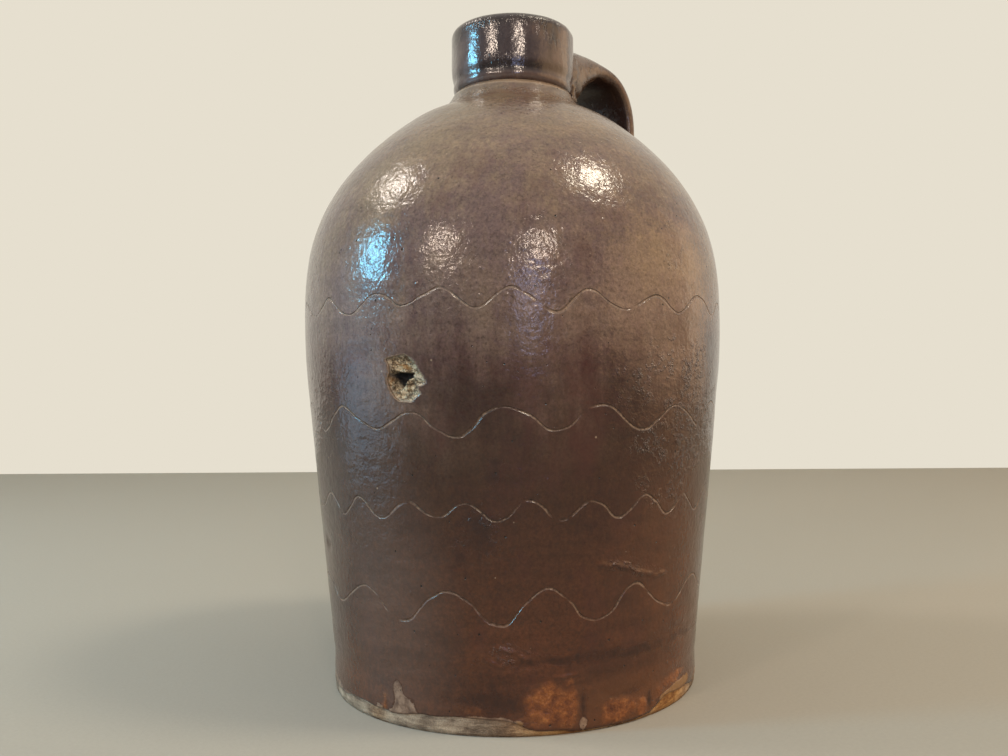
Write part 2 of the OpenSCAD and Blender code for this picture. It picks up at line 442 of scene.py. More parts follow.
def salt_glaze(name, tan, mauve):
    """Salt-glazed stoneware, dipped in brown slip and vapour-glazed in the kiln: a thin
    glassy skin with an orange-peel grain, pits and specks, mottled where the slip ran.
    The two families of colour are given from the foot up to the neck."""
    material, t, place = blank(name)
    axes = add(t, "SeparateXYZ", {0: place})
    # Drawn out down the wall for runs, a little for mottles, and round it for wiping
    tall, dense, turned = (
        add(t, "Mapping", {"Vector": place, "Scale": scale})
        for scale in ((1.0, 1.0, 0.13), (1.0, 1.0, 0.62), (0.24, 0.24, 1.0))
    )
    field = {}
    # Noises: where, size in millimetres, detail and roughness
    for key, where, size, detail, coarse in (
        ("cloud", place, 40, 3, 0.55), ("run", tall, 6, 4, 0.6), ("mottle", dense, 2.3, 3, 0.62),
        ("grain", place, 1.1, 3, 0.7), ("wipe", turned, 5, 2, 0.55), ("edge", place, 5, 4, 0.6),
        ("freckle", place, 1.5, 2, 0.7), ("blush", dense, 15, 4, 0.6), ("drift", place, 8, 1, 0.5),
        ("patchy", place, 3.6, 5, 0.72), ("wander", place, 26, 2, 0.5), ("press", place, 9, 2, 0.5),
        ("peel", place, 1.7, 2.5, 0.55), ("swell", place, 5.5, 1, 0.5), ("clump", place, 1.9, 3, 0.65),
    ):
        values = {"Vector": where, "Scale": per(size), "Detail": detail, "Roughness": coarse}
        field[key] = add(t, "TexNoise", values)
    # What they give: the noise, from, to, least and most
    for key, source, low, high, least, most in (
        ("fine", "grain", 0.3, 0.7, 0.72, 1.28), ("wiped", "wipe", 0.3, 0.7, 0.86, 1.14),
        ("freckle", "freckle", 0.55, 0.70, 0.0, 0.42), ("press", "press", 0.34, 0.56, 0.0, 1.0),
        ("crumbs", "grain", 0.38, 0.62, 0.05, 0.75), ("gloss", "cloud", 0.3, 0.7, 0.17, 0.27),
        ("clump", "clump", 0.50, 0.68, 0.0, 1.0), ("drift", "drift", 0.42, 0.60, 0.12, 1.0),
    ):
        span = {"From Min": low, "From Max": high, "To Min": least, "To Max": most}
        field[key] = add(t, "MapRange", {"Value": field[source], **span})
    brushed = {
        key: add(t, "Attribute", attribute_name=key).outputs["Fac"]
        for key in ("plum", "veil", "warm", "rust", "dim", "edge", "bare", "rough")
    }

    # The colour changes with height, with a soft uneven edge that ran in streaks: chocolate low on the
    # wall and a lighter taupe from the belt up, partly the glaze's own tone and partly painted light
    # falling from above
    level, tone = axes.outputs[2], 0.0
    for key, reach in (("run", 0.036), ("cloud", 0.074)):
        level = add(t, "Math", {0: field[key], 1: reach, 2: level}, operation="MULTIPLY_ADD")
    level = add(t, "MapRange", {"Value": level, "From Min": 0.055, "From Max": 0.315})
    heights = (0.0, 0.15, 0.38, 0.45, 0.52, 0.60, 0.76, 1.0)
    mauves, tans = (
        add(t, "ValToRGB", {"Fac": level}, stops=tuple(zip(heights, family))) for family in (mauve, tan)
    )
    for key, share in (("mottle", 0.70), ("run", 0.24), ("cloud", 1.30)):
        tone = add(t, "Math", {0: field[key], 1: share, 2: tone}, operation="MULTIPLY_ADD")
    tone = add(t, "MapRange", {"Value": tone, "From Min": 0.92, "From Max": 1.29})
    colour = add(t, "Mix", {0: tone, 6: mauves, 7: tans})
    for key in ("fine", "wiped"):
        values = {0: 1.0, 6: colour, 7: field[key]}
        colour = add(t, "Mix", values, blend_type="MULTIPLY")
    # Freckles of iron, 1 to 2 mm, red-brown blushes where the slip is rich in it, a thin
    # grey bloom where ash settled on one side, and a warmer brown where the flame ran
    rich = add(t, "Math", {0: brushed["plum"], 1: 0.26, 2: field["blush"]}, operation="MULTIPLY_ADD")
    rich = add(t, "MapRange", {"Value": rich, "From Min": 0.56, "From Max": 0.84, "To Max": 0.60})
    bloom, flame = (
        add(t, "Math", {0: brushed[key], 1: field["wiped"]}, operation="MULTIPLY")
        for key in ("veil", "warm")
    )
    for share, tint in (
        (field["freckle"], "#33241c"), (rich, "#502a26"), (bloom, "#83756c"), (flame, "#7a4f30"),
    ):
        colour = add(t, "Mix", {0: share, 6: colour, 7: hue(tint)})

    # Worn, thin and darker places come from the brushed attributes, with ragged edges. Among them are
    # painted shade and painted highlight.
    ragged = add(t, "Math", {0: field["edge"], 1: 0.5}, operation="SUBTRACT")
    mask = {}
    for key, source, low, high in (
        ("rust", "rust", 0.24, 0.76), ("dim", "dim", 0.2, 0.8), ("edge", "edge", 0.2, 0.7),
        ("lined", "bare", 0.30, 0.42), ("bare", "bare", 0.44, 0.54), ("rough", "rough", 0.2, 0.7),
    ):
        spot = add(t, "Math", {0: ragged, 1: brushed[source]}, operation="ADD")
        values = {"Value": spot, "From Min": low, "From Max": high}
        mask[key] = add(t, "MapRange", values, interpolation_type="SMOOTHSTEP")
    rust, clay = (
        add(t, "ValToRGB", {"Fac": field["patchy"]}, stops=stops)
        for stops in (
            ((0.34, "#542d19"), (0.45, "#744222"), (0.56, "#8d542b"), (0.68, "#b27440")),
            ((0.34, "#5a4234"), (0.45, "#7b614e"), (0.56, "#957a64"), (0.70, "#ad927c")),
        )
    )
    toast, outline = (
        add(t, "Math", {0: mask[key], 1: 0.7}, operation="MULTIPLY") for key in ("rust", "lined")
    )
    clay = add(t, "Mix", {0: toast, 6: clay, 7: hue("#9a7240")})

    # A round spot in some of the cells of a net. Pits lie 4 mm apart, are half a millimetre
    # wide and dark inside, specks are pale, and grit makes pimples.
    spots = {}
    for key, apart, channel, least, wide, soft, most, way in (
        ("pit", 3.8, 0, 0.50, 0.13, 0.04, 1.0, "LINEAR"),
        ("speck", 6.5, 1, 0.62, 0.08, 0.03, 0.75, "LINEAR"),
        ("grit", 4.6, 2, 0.35, 0.24, 0.20, 1.0, "SMOOTHSTEP"),
    ):
        cell = add(t, "TexVoronoi", {"Vector": place, "Scale": per(apart)})
        chance = add(t, "SeparateColor", {0: cell.outputs["Color"]}).outputs[channel]
        size = add(t, "MapRange", {"Value": chance, "From Min": least, "To Max": wide})
        into = add(t, "Math", {0: size, 1: cell}, operation="SUBTRACT")
        values = {"Value": into, "From Max": soft, "To Max": most}
        spots[key] = add(t, "MapRange", values, interpolation_type=way)
    # The dark dim tint is painted shade under the strap, besides darker patches on the body. The pale
    # edge tint is thin glaze and also a painted highlight on the strap's outer edges and on the coat's
    # rim under the collar.
    for share, tint in (
        (mask["dim"], hue("#29130c")), (mask["edge"], hue("#8d7863")), (mask["rust"], rust),
        (outline, hue("#4a2c1d")), (mask["bare"], clay), (spots["pit"], hue("#1e1410")),
        (spots["speck"], hue("#b09a80")),
    ):
        colour = add(t, "Mix", {0: share, 6: colour, 7: tint})

    # Waves scribed freehand round the wall with a blunt point, 1 mm wide, down to the clay
    turn = add(t, "Math", {0: axes.outputs[1], 1: axes.outputs[0]}, operation="ARCTAN2")
    wander = {0: field["wander"], 1: WANDER * MM, 2: axes.outputs[2]}
    wander = add(t, "Math", wander, operation="MULTIPLY_ADD")
    scribed = 1.0
    for height, swing, waves, phase in SCRIBED:
        phased = add(t, "Math", {0: turn, 1: float(waves), 2: phase}, operation="MULTIPLY_ADD")
        sway, steep = (add(t, "Math", {0: phased}, operation=way) for way in ("SINE", "COSINE"))
        off = add(t, "Math", {0: sway, 1: -swing * MM, 2: wander}, operation="MULTIPLY_ADD")
        off = add(t, "Math", {0: off, 1: (height + WANDER / 2) * MM}, operation="SUBTRACT")
        off = add(t, "Math", {0: off}, operation="ABSOLUTE")
        # The line keeps its width where it climbs
        slope = swing * waves / SCRIBED_R
        lean = add(t, "Math", {0: steep, 1: steep}, operation="MULTIPLY")
        lean = add(t, "Math", {0: lean, 1: slope * slope, 2: 1.0}, operation="MULTIPLY_ADD")
        lean = add(t, "Math", {0: lean}, operation="SQRT")
        off = add(t, "Math", {0: off, 1: lean}, operation="DIVIDE")
        scribed = add(t, "Math", {0: scribed, 1: off}, operation="MINIMUM")
    cut = {"Value": scribed, "From Min": 0.60 * MM, "From Max": 0.12 * MM}
    cut = add(t, "MapRange", cut, interpolation_type="SMOOTHSTEP")
    cut = add(t, "Math", {0: cut, 1: field["press"]}, operation="MULTIPLY")
    shown = add(t, "Math", {0: cut, 1: field["crumbs"]}, operation="MULTIPLY")
    colour = add(t, "Mix", {0: shown, 6: colour, 7: hue("#a98f76")})

    # Gloss is uneven, duller where it is rough, dim, cut or worn to the clay
    gloss = field["gloss"]
    for share, dull in ((mask["rough"], 0.06), (mask["bare"], 0.40), (cut, 0.28), (mask["dim"], 0.26)):
        gloss = add(t, "Math", {0: share, 1: dull, 2: gloss}, operation="MULTIPLY_ADD")
    # Orange peel of 1.7 mm, as salt leaves it, over a softer 5 mm swell, with lumps where it
    # is rough and blisters where it is thin
    lumps = add(t, "Math", {0: mask["rough"], 1: field["clump"]}, operation="MULTIPLY")
    lumps = add(t, "Math", {0: lumps, 1: field["drift"]}, operation="MULTIPLY")
    blister = add(t, "Math", {0: mask["rust"], 1: field["patchy"]}, operation="MULTIPLY")
    height = field["peel"]
    for share, rise in (
        (field["swell"], 1.2), (spots["grit"], 0.7), (lumps, 2.6), (spots["pit"], -1.6),
        (field["wipe"], 0.9), (blister, 2.4), (cut, -2.5),
    ):
        height = add(t, "Math", {0: share, 1: rise, 2: height}, operation="MULTIPLY_ADD")
    bump = add(t, "Bump", {"Height": height, "Distance": 0.20 * MM})
    shader = add(t, "BsdfPrincipled", {
        "Base Color": colour, "Roughness": gloss, "IOR": 1.46, "Coat Weight": 0.3,
        "Coat Roughness": 0.07, "Normal": bump, "Coat Normal": bump,
    })
    add(t, "OutputMaterial", {"Surface": shader})
    return material


def slip_gloss(name, *tones):
    """Dark iron slip run thick on the collar: near black and glassy, thinner on the side
    of the handle, with drips and a few burst bubbles. Its tones run from thick to thin, and the thin
    end also carries a painted reflection and a painted highlight."""
    material, t, place = blank(name)
    thin, pooled_and_shaded, burst = (
        add(t, "Attribute", attribute_name=key).outputs["Fac"] for key in ("thin", "pooled_and_shaded", "burst")
    )
    tall = add(t, "Mapping", {"Vector": place, "Scale": (1.0, 1.0, 0.22)})
    run, mottle, peel, froth = (
        add(t, "TexNoise", {"Vector": where, "Scale": per(size), "Detail": fine, "Roughness": coarse})
        for where, size, fine, coarse in (
            (tall, 5, 4, 0.6), (place, 1.8, 2, 0.5), (place, 2.2, 3, 0.55), (tall, 1.6, 3, 0.7),
        )
    )
    # Lighter where the slip is thin, and where a painted reflection and a painted highlight are brushed
    tone = thin
    for source, share in ((run, 0.9), (mottle, 0.35)):
        tone = add(t, "Math", {0: source, 1: share, 2: tone}, operation="MULTIPLY_ADD")
    tone = add(t, "MapRange", {"Value": tone, "From Min": 0.45, "From Max": 1.5})
    colour = add(t, "ValToRGB", {"Fac": tone}, stops=tuple(zip((0.0, 0.3, 0.65, 1.0), tones)))
    # Burst bubbles left pits about 3 mm apart
    pit = add(t, "TexVoronoi", {"Vector": place, "Scale": per(3.4)})
    chance = add(t, "SeparateColor", {0: pit.outputs["Color"]})
    wide = add(t, "MapRange", {"Value": chance, "From Min": 0.6, "To Max": 0.14})
    hollow = add(t, "Math", {0: wide, 1: pit}, operation="SUBTRACT")
    hollow = add(t, "MapRange", {"Value": hollow, "From Max": 0.05})
    # Darker where the slip pooled and dripped, and in a band of painted shade round the waist
    for share, tint in ((pooled_and_shaded, "#1f1614"), (hollow, "#140e0c")):
        colour = add(t, "Mix", {0: share, 6: colour, 7: hue(tint)})
    span = {"From Min": 0.3, "From Max": 0.7, "To Min": 0.16, "To Max": 0.26}
    gloss = add(t, "MapRange", {"Value": run, **span})
    froth = add(t, "MapRange", {"Value": froth, "From Min": 0.48, "From Max": 0.66})
    froth = add(t, "Math", {0: froth, 1: burst}, operation="MULTIPLY")
    height = peel
    for share, rise in ((hollow, -1.2), (froth, -1.6)):
        height = add(t, "Math", {0: share, 1: rise, 2: height}, operation="MULTIPLY_ADD")
    bump = add(t, "Bump", {"Height": height, "Distance": 0.17 * MM})
    shader = add(t, "BsdfPrincipled", {
        "Base Color": colour, "Roughness": gloss, "IOR": 1.52, "Coat Weight": 0.5,
        "Coat Roughness": 0.08, "Normal": bump, "Coat Normal": bump,
    })
    add(t, "OutputMaterial", {"Surface": shader})
    return material


def fired_clay(name):
    """Stoneware clay, thrown and fired bare: buff to grey, toasted orange near the glaze,
    with grog specks, turning marks and a dry, sandy face"""
    material, t, place = blank(name)
    toast, buff, pale, hole_shade = (
        add(t, "Attribute", attribute_name=key).outputs["Fac"]
        for key in ("rust", "buff", "pale", "hole_shade")
    )
    turned = add(t, "Mapping", {"Vector": place, "Scale": (0.22, 0.22, 1.4)})
    cloud, mottle, grog, lump = (
        add(t, "TexNoise", {"Vector": where, "Scale": per(size), "Detail": fine, "Roughness": coarse})
        for where, size, fine, coarse in (
            (place, 9, 4, 0.6), (turned, 2.2, 4, 0.7), (place, 0.6, 3, 0.75), (place, 2.6, 2, 0.5),
        )
    )
    tone = add(t, "Math", {0: mottle, 1: 0.8, 2: cloud}, operation="MULTIPLY_ADD")
    tone = add(t, "MapRange", {"Value": tone, "From Min": 0.68, "From Max": 1.12})
    broken = add(t, "Math", {0: lump, 1: 0.9, 2: grog}, operation="MULTIPLY_ADD")
    clay, golden, fresh_break = (
        add(t, "ValToRGB", {"Fac": source}, stops=stops)
        for source, stops in (
            (tone, ((0.0, "#5c4c3e"), (0.3, "#85735f"), (0.6, "#a6937c"), (1.0, "#c4b096"))),
            (tone, ((0.0, "#5a3418"), (0.3, "#8a5c2e"), (0.6, "#b3854c"), (1.0, "#d0a870"))),
            (broken, ((0.74, "#43372b"), (0.88, "#77664f"), (1.0, "#a38f70"), (1.0, "#dccbaa"))),
        )
    )
    amber = add(t, "Mix", {0: toast, 6: fresh_break, 7: hue("#b5813c")})
    colour = clay
    # The pale tint is a painted highlight along the chip's rim and ledge
    for share, tint in ((toast, golden), (buff, amber), (pale, hue("#c4b8a4"))):
        colour = add(t, "Mix", {0: share, 6: colour, 7: tint})
    span = {"From Min": 0.35, "From Max": 0.65, "To Min": 0.78, "To Max": 1.18}
    gritty = add(t, "MapRange", {"Value": grog, **span})
    colour = add(t, "Mix", {0: 1.0, 6: colour, 7: gritty}, blend_type="MULTIPLY")
    # Painted shade: near black down in the chip's hole
    colour = add(t, "Mix", {0: hole_shade, 6: colour, 7: hue("#1c1d20")})
    height = add(t, "Math", {0: mottle, 1: 1.5, 2: grog}, operation="MULTIPLY_ADD")
    bump = add(t, "Bump", {"Height": height, "Distance": 0.22 * MM})
    values = {"Base Color": colour, "Roughness": 0.78, "IOR": 1.45, "Normal": bump}
    add(t, "OutputMaterial", {"Surface": add(t, "BsdfPrincipled", values)})
    return material


def studio_matt(name, code, grain_mm, roughness, dim=None):
    """A matt studio surface with a faint grain. The camera and the reflections see its
    colour. Its other light is dimmed, as a table's, or else it shines evenly, as a lit wall."""
    material, t, place = blank(name)
    rays = add(t, "LightPath")
    seen = rays.outputs["Is Camera Ray"]
    for ray in ("Is Glossy Ray", "Is Transmission Ray"):
        seen = add(t, "Math", {0: seen, 1: rays.outputs[ray]}, operation="MAXIMUM")
    grain = add(t, "TexNoise", {"Vector": place, "Scale": per(grain_mm), "Detail": 3.0})
    tint = add(t, "MapRange", {"Value": grain, "To Min": 0.94, "To Max": 1.06})
    colour = add(t, "Mix", {0: 1.0, 6: hue(code), 7: tint}, blend_type="MULTIPLY")
    if dim:
        colour = add(t, "Mix", {0: seen, 6: hue(dim), 7: colour})
    bump = add(t, "Bump", {"Height": grain, "Strength": 0.3, "Distance": 0.2 * MM})
    values = {"Base Color": colour, "Roughness": roughness, "Specular IOR Level": 0.15, "Normal": bump}
    surface = add(t, "BsdfPrincipled", values)
    if not dim:
        glow = add(t, "Emission", {"Color": hue(code), "Strength": 1.0})
        surface = add(t, "MixShader", {0: seen, 1: surface, 2: glow})
    add(t, "OutputMaterial", {"Surface": surface})
    return material


brown_glaze = salt_glaze(
    "salt_glazed_brown_stoneware",
    ("#623822", "#5b341f", "#43291c", "#4d362a", "#6c564a", "#826d60", "#86715a", "#705d49"),
    ("#422418", "#3f2117", "#341d19", "#3f2723", "#5a4341", "#6e5a57", "#6a544c", "#5c4942"),
)
collar_slip = slip_gloss("glossy_dark_iron_slip", "#31252a", "#483a3a", "#624f49", "#7c6657")
bare_clay = fired_clay("fired_stoneware_clay")
inner_slip = slip_gloss("thin_inside_slip", "#2a1d16", "#38281f", "#483328", "#5a4030")


# ---- The brown coat on the body

# Lobes of the coat's lower edge: bearing, half width in degrees, lift
LOBES = ((-188, 17, 1.2), (-149, 14, 2.4), (-122, 13, -2.6), (-104, 11, -3.0), (-81, 9, 1.7))
# Scars that need finer faces: from and to in bearing, then in height
SCARS = ((-116, -89, 50, 64), (-145, -117, 18, 34), (-153, -145, 58, 63), (-204, -196, 58, 67))
# The rows below this height are spread over what the ragged edge leaves
EDGE_TOP = 12
START_Z = 0.5


def coat_foot(bearing):
    """Height at which the coat ends above the table, ragged round the foot"""
    edge = 4.0 + 1.6 * rough(bearing, 0, 26, 1.7) + 0.9 * rough(bearing, 0, 7, 4.2)
    for at, wide, lift in LOBES:
        edge += lift * float(smooth(1.6 - abs(around(bearing, at)) / wide))
    return max(edge, 0.9)


levels = np.concatenate([
    np.arange(START_Z, 44, 1.1), np.arange(44, SHOULDER_Z, 1.75), np.linspace(SHOULDER_Z, NECK_Z, 14),
])
coat = throw("body_coat", [(coat_r(z), z) for z in levels], arcs(96, 150, 68))
refine(coat, 4, near_chip(3.0))
for low_b, high_b, low_z, high_z in SCARS:
    refine(coat, 2, lambda b, r, z: 0 <= (b - low_b) % 360 <= high_b - low_b and low_z < z < high_z)
bearing, r, z = polar(coat)
# The lowest rows are pushed up to the ragged edge
edge = np.array([coat_foot(b) for b in bearing])
raised = edge + (EDGE_TOP - edge) * (z - START_Z) / (EDGE_TOP - START_Z)
z = np.where(z < EDGE_TOP, raised, z)
r = coat_r(z) - np.array([pressed(b, h) for b, h in zip(bearing, z)])
# Where the neck meets the collar the coat runs thin
r -= 0.35 * smooth((z - NECK_Z + 1.1) / 1.1) ** 2
put(coat, bearing, r, z)
pick(coat, near_chip(0.0))
bpy.ops.mesh.delete(type="FACE")
mode("OBJECT")
# The broken rim follows the chip's outline exactly
mesh = bmesh.new()
mesh.from_mesh(coat.data)
for v in mesh.verts:
    h = v.co.z / MM
    if v.is_boundary and abs(h - CHIP_AT[1]) < CHIP_SPAN:
        b = degrees(atan2(v.co.y, v.co.x))
        p = np.array([radians(around(b, CHIP_AT[0])) * coat_r(h), h - CHIP_AT[1]])
        d = np.roll(CHIP_EDGE, -1, axis=0) - CHIP_EDGE
        t = np.clip(((p - CHIP_EDGE) * d).sum(1) / (d * d).sum(1), 0, 1)
        spots = CHIP_EDGE + t[:, None] * d
        near = spots[np.argmin(np.linalg.norm(spots - p, axis=1))]
        b, h = CHIP_AT[0] + degrees(near[0] / coat_r(CHIP_AT[1])), CHIP_AT[1] + near[1]
        w, r0 = radians(b), coat_r(h) - pressed(b, h)
        v.co = Vector((r0 * cos(w), r0 * sin(w), h)) * MM
mesh.to_mesh(coat.data)
mesh.free()
coat.data.update()
paint(coat, "rust", (
    (-126, 11, 9, 8, 4, 0.85), (-120.6, 10, 2.4, 9, 0, 1.0), (-133, 5.5, 2, 3, 0, 0.8),
    (-106, 6, 9, 5, -4, 0.75), (-97.4, 4.6, 2.0, 4.6, 0, 1.0), (-90.4, 8, 1.8, 3.4, 10, 0.8),
    (-82, 11, 12, 2.2, 6, 0.7), (-78, 6.5, 16, 2.6, 5, 0.9), (-148, 9, 16, 4, 0, 0.35),
    (-172.4, 19.9, 1.2, 2.2, 8, 1.2), (-174.5, 8, 2.4, 7, 10, 0.6),
    (40, 8, 22, 7, 0, 0.8), (100, 6, 16, 6, 0, 0.7),
))
paint(coat, "bare", (
    (-168.4, 12.6, 2.2, 4.8, 4, 0.95), (-166.9, 6.4, 5.0, 5.2, 0, 1.0), (-148, 4.6, 20, 2.6, 2, 0.95),
    (-80, 6.4, 15, 2.2, 5, 0.95), (-188, 3.4, 16, 2.4, 0, 0.95), (-116.4, 2.8, 1.3, 3.6, 0, 0.8),
    (-176.5, 5.5, 1.6, 1.6, 0, 0.75), (-171, 4, 2.5, 2.2, 0, 0.8), (-60, 4, 12, 2.4, 0, 0.8),
    (150, 5, 18, 3.0, 0, 0.9), (70, 4, 9, 2.2, 0, 0.8), (15, 5, 12, 2.6, 0, 0.8),
))
paint(coat, "dim", (
    (-104, 27, 62, 2.6, 0, 0.45), (-139.5, 95, 3.6, 7.0, 0, 0.55), (-143, 74, 7, 9, 0, 0.5),
    (-141, 12, 20, 6, 0, 0.45), (-117.4, 9, 0.9, 12, 0, 0.8), (-94.2, 5, 0.8, 5, 4, 0.9),
    (-101, 12, 8, 2, 6, 0.4),
))
paint(coat, "plum", (
    (-119, 112, 9, 22, 0, 1.0), (-130, 96, 14, 34, 0, 0.7), (-119, 148, 7, 22, 0, 0.6),
    (-146, 206, 12, 7, -10, 0.7), (-104, 60, 20, 30, 0, 0.4), (-150, 243, 14, 5, 0, 0.5),
    (150, 110, 40, 30, 0, 0.8), (30, 70, 30, 40, 0, 0.6),
))
paint(coat, "veil", ((-170, 36, 22, 46, 0, 0.24), (-196, 60, 20, 50, 0, 0.16)))
paint(coat, "warm", ((-88, 52, 30, 62, 0, 0.26), (-102, 8, 34, 13, 0, 0.5), (70, 40, 60, 50, 0, 0.22)))
# Pale round the chip, and a pale line where the coat ends under the collar, partly thin glaze and
# partly a painted highlight along the joint
bearing, r, z = polar(coat)
points = from_chip(bearing, z)
near = (np.abs(points) < CHIP_SPAN).all(1)
value = np.zeros(len(z))
value[near] = smooth((0.55 + inside(points[near], CHIP_EDGE)) / 0.4)
paint(coat, "edge", ((-137, 251.9, 400, 0.8, 0, 1.0),), base=value)
paint(coat, "rough", (
    (-90, 125, 30, 15, 0, 0.9), (-90, 105, 24, 14, -8, 1.0), (-93, 86, 16, 9, -30, 0.9),
    (-145, 73, 10, 9, 10, 0.6), (-70, 118, 12, 9, 0, 0.6), (-98, 130, 12, 24, 0, 0.45),
    (-92, 170, 10, 16, 0, 0.4), (60, 90, 20, 14, 0, 0.8), (-137, 245, 400, 4, 0, 0.55),
    (-102, 57.5, 17, 2.6, -12, 0.9), (-135, 29, 10, 4, -20, 0.7),
))
thicken(coat, COAT)
finish(coat, ("body_glaze",), brown_glaze)


# ---- The clay under it: foot, chip and inside

outer = [(FOOT_R - FOOT_BEVEL, 0), (FOOT_R - 0.3, 0.35), (FOOT_R, FOOT_BEVEL)]
outer += [(clay_r(z), z) for z in np.concatenate([
    np.arange(2, 14, 1.5), np.arange(14, 112, 4.9), np.arange(112, 144, 2.0),
    np.arange(144, SHOULDER_Z, 4.0), np.linspace(SHOULDER_Z, NECK_Z, 9),
])]
corner = FLOOR + FLOOR_ROUND
middle = wall_r(corner) - WALL - FLOOR_ROUND
inner = [(0, FLOOR)]
for i in range(9):
    w = radians(-90 + 90 * i / 8)
    inner.append((middle + FLOOR_ROUND * cos(w), corner + FLOOR_ROUND * sin(w)))
upper = shifted([(wall_r(z), z) for z in np.arange(124, SHOULDER_Z + 0.1, 4)], -WALL)
inner += [*upper, *draw_in(upper[-1], [THROAT_R, NECK_Z - THROAT_H], SHOULDER_END, 90, 7)]
inner += [(THROAT_R, NECK_Z)]
whole = [(0, 0)] + outer + inner[::-1]
clay = throw("clay_body", whole, arcs(96, 96, 56))
refine(clay, 5, near_chip(1.5))
bearing, r, z = polar(clay)
skin = r > clay_r(z) - 1.3
press = np.array([pressed(b, h) if s else 0 for b, h, s in zip(bearing, z, skin)])
# It is pressed like its coat, and stands a little proud below the coat's edge
foot = np.array([coat_foot(b) if s else 0 for b, s in zip(bearing, skin)])
stand = 0.35 * smooth((foot + 0.6 - z) / 1.2) * smooth((z - 0.2) / 1.0)
r = np.where(skin & (z > 0.1), r - press - 0.10 + stand, r)
# The break: steps, shards and crumbs of the clay, in millimetres from the chip's middle
points = from_chip(bearing, z)
close = skin & (np.abs(points) < CHIP_SPAN).all(1)
p = points[close]
into, pit = inside(p, CHIP_EDGE), inside(p, HOLE_EDGE)
steps = np.array([noise.noise(Vector((x / 2.1, y / 1.5, 4.0))) for x, y in p])
shards = np.array([noise.cell(Vector((x / 1.7 + 0.4 * y, y / 1.2, 2.0))) for x, y in p])
crumbs = np.array([noise.noise(Vector((x / 0.7, y / 0.7, 8.0))) for x, y in p])
bowl = 0.15 + 1.3 * smooth(into / 2.6) + 0.7 * steps + 0.55 * (shards - 0.5) + 0.25 * crumbs
# The upper half broke deeper, under a ledge that runs down to the right of the hole
ledge = p[:, 1] + 0.30 * p[:, 0] - 1.6
bowl += 0.9 * smooth((ledge + 0.25) / 0.5) * smooth(into / 1.0) - 0.7 * np.exp(-((ledge / 0.45) ** 2))
bowl += 3.4 * smooth((pit + 0.30) / 0.5)
deep = np.zeros(len(z))
deep[close] = np.where(into > 0, np.maximum(bowl, 0.05), 0)
put(clay, bearing, r - deep, z)
# Buff all over the break, dark in the hole as painted shade, and pale along the rim and the ledge as a
# painted highlight
rim = np.exp(-(((into - 0.25) / 0.30) ** 2))
rim += 0.9 * np.exp(-(((ledge + 0.1) / 0.35) ** 2)) * (p[:, 0] > -2)
rim = np.clip(rim + 0.3 * crumbs, 0, 1) * 0.8
for key, there in (
    ("buff", np.where(into > -0.3, 1.0, 0.0)), ("hole_shade", smooth((pit + 0.2) / 0.4)),
    ("pale", np.where(into > -0.3, rim, 0)),
):
    value = np.zeros(len(z))
    value[close] = there
    brush(clay, key, value)
paint(clay, "rust", (
    (-120, 3, 20, 6, 0, 0.9), (-101, 3, 10, 6, 0, 0.9), (-86, 4, 16, 6, 0, 0.95),
    (-177, 3, 4, 4, 0, 0.4), (60, 3, 40, 5, 0, 0.6), (-161.4, 131.8, 2.6, 0.7, -18, 0.7),
    (-165.2, 126.4, 0.7, 2.2, 10, 0.5), (-160.2, 124.0, 1.2, 0.8, 0, 0.4),
))
finish(clay, ("thrown_body",), bare_clay)


# ---- The collar's dark coat, over the lip

LIP_Z = 276
COLLAR_COAT = 0.3

# From the groove under the collar, up its side, over the lip and into the mouth
line = [(COLLAR_FOOT_R - 1.6, NECK_Z + 0.15), (COLLAR_FOOT_R - 0.5, NECK_Z + 0.15)]
line += [(COLLAR_FOOT_R + 0.1, NECK_Z + 0.5), (COLLAR_FOOT_R + COAT - 0.05, NECK_Z + 1.1)]
top, lip, rounding = COLLAR_TOP + COAT, COLLAR_LIP_R + COAT, LIP_ROUND + COAT
line += [(collar_r(h) + COAT, h) for h in np.arange(NECK_Z + 1.8, top - rounding, 0.75)]
for i in range(1, 11):
    w = radians(90 * i / 10)
    line.append((lip - rounding + rounding * cos(w), top - rounding + rounding * sin(w)))
line += [(x, top) for x in np.linspace(lip - rounding - 1.2, MOUTH_R + MOUTH_ROUND + 0.3, 5)]
for i in range(1, 6):
    w = radians(60 * i / 5)
    x = MOUTH_R + MOUTH_ROUND - (MOUTH_ROUND + 0.1) * sin(w) + 0.2
    line.append((x, top - MOUTH_ROUND + MOUTH_ROUND * cos(w)))
ring = throw("collar_coat", line, arcs(100, 170, 80))
bearing, r, z = polar(ring)
# Its outside is a little out of round and lumpy, with a waist over a rolled foot
turn, up = np.radians(bearing), z - NECK_Z
waist = 0.30 * np.exp(-(((up - 5.6) / 1.8) ** 2)) - 0.26 * np.exp(-(((up - 2.6) / 1.3) ** 2))
swell = np.array([
    noise.noise(Vector((25 * cos(w) / 4.6, 25 * sin(w) / 4.6, h / 9))) for w, h in zip(turn, z)
])
sink = 0.14 + 0.10 * np.sin(2 * turn + 1.0) + waist + 0.14 * swell
r = np.where(r > 22, r - np.clip(sink, -0.3, 0.5), r)
# The lip dips and rises as it goes round
dip = 0.18 + 0.16 * np.sin(2 * turn + 0.7) * smooth((z - LIP_Z) / 5)
put(ring, bearing, r, np.where(z > LIP_Z, z - dip, z))
# Lighter where the slip runs thin towards the handle. The lighter patch on the left is a painted
# reflection, and the band round the collar's foot a painted highlight.
paint(ring, "thin", (
    (-76, 264, 12, 22, 0, 0.42), (-40, 266, 20, 30, 0, 0.5), (20, 266, 20, 30, 0, 0.5),
    (-180, 262, 10, 16, 0, 0.35), (-137, 254.6, 90, 1.8, 0, 0.5), (-110, 277, 9, 6, 20, 0.3),
    (150, 268, 20, 20, 0, 0.4),
))
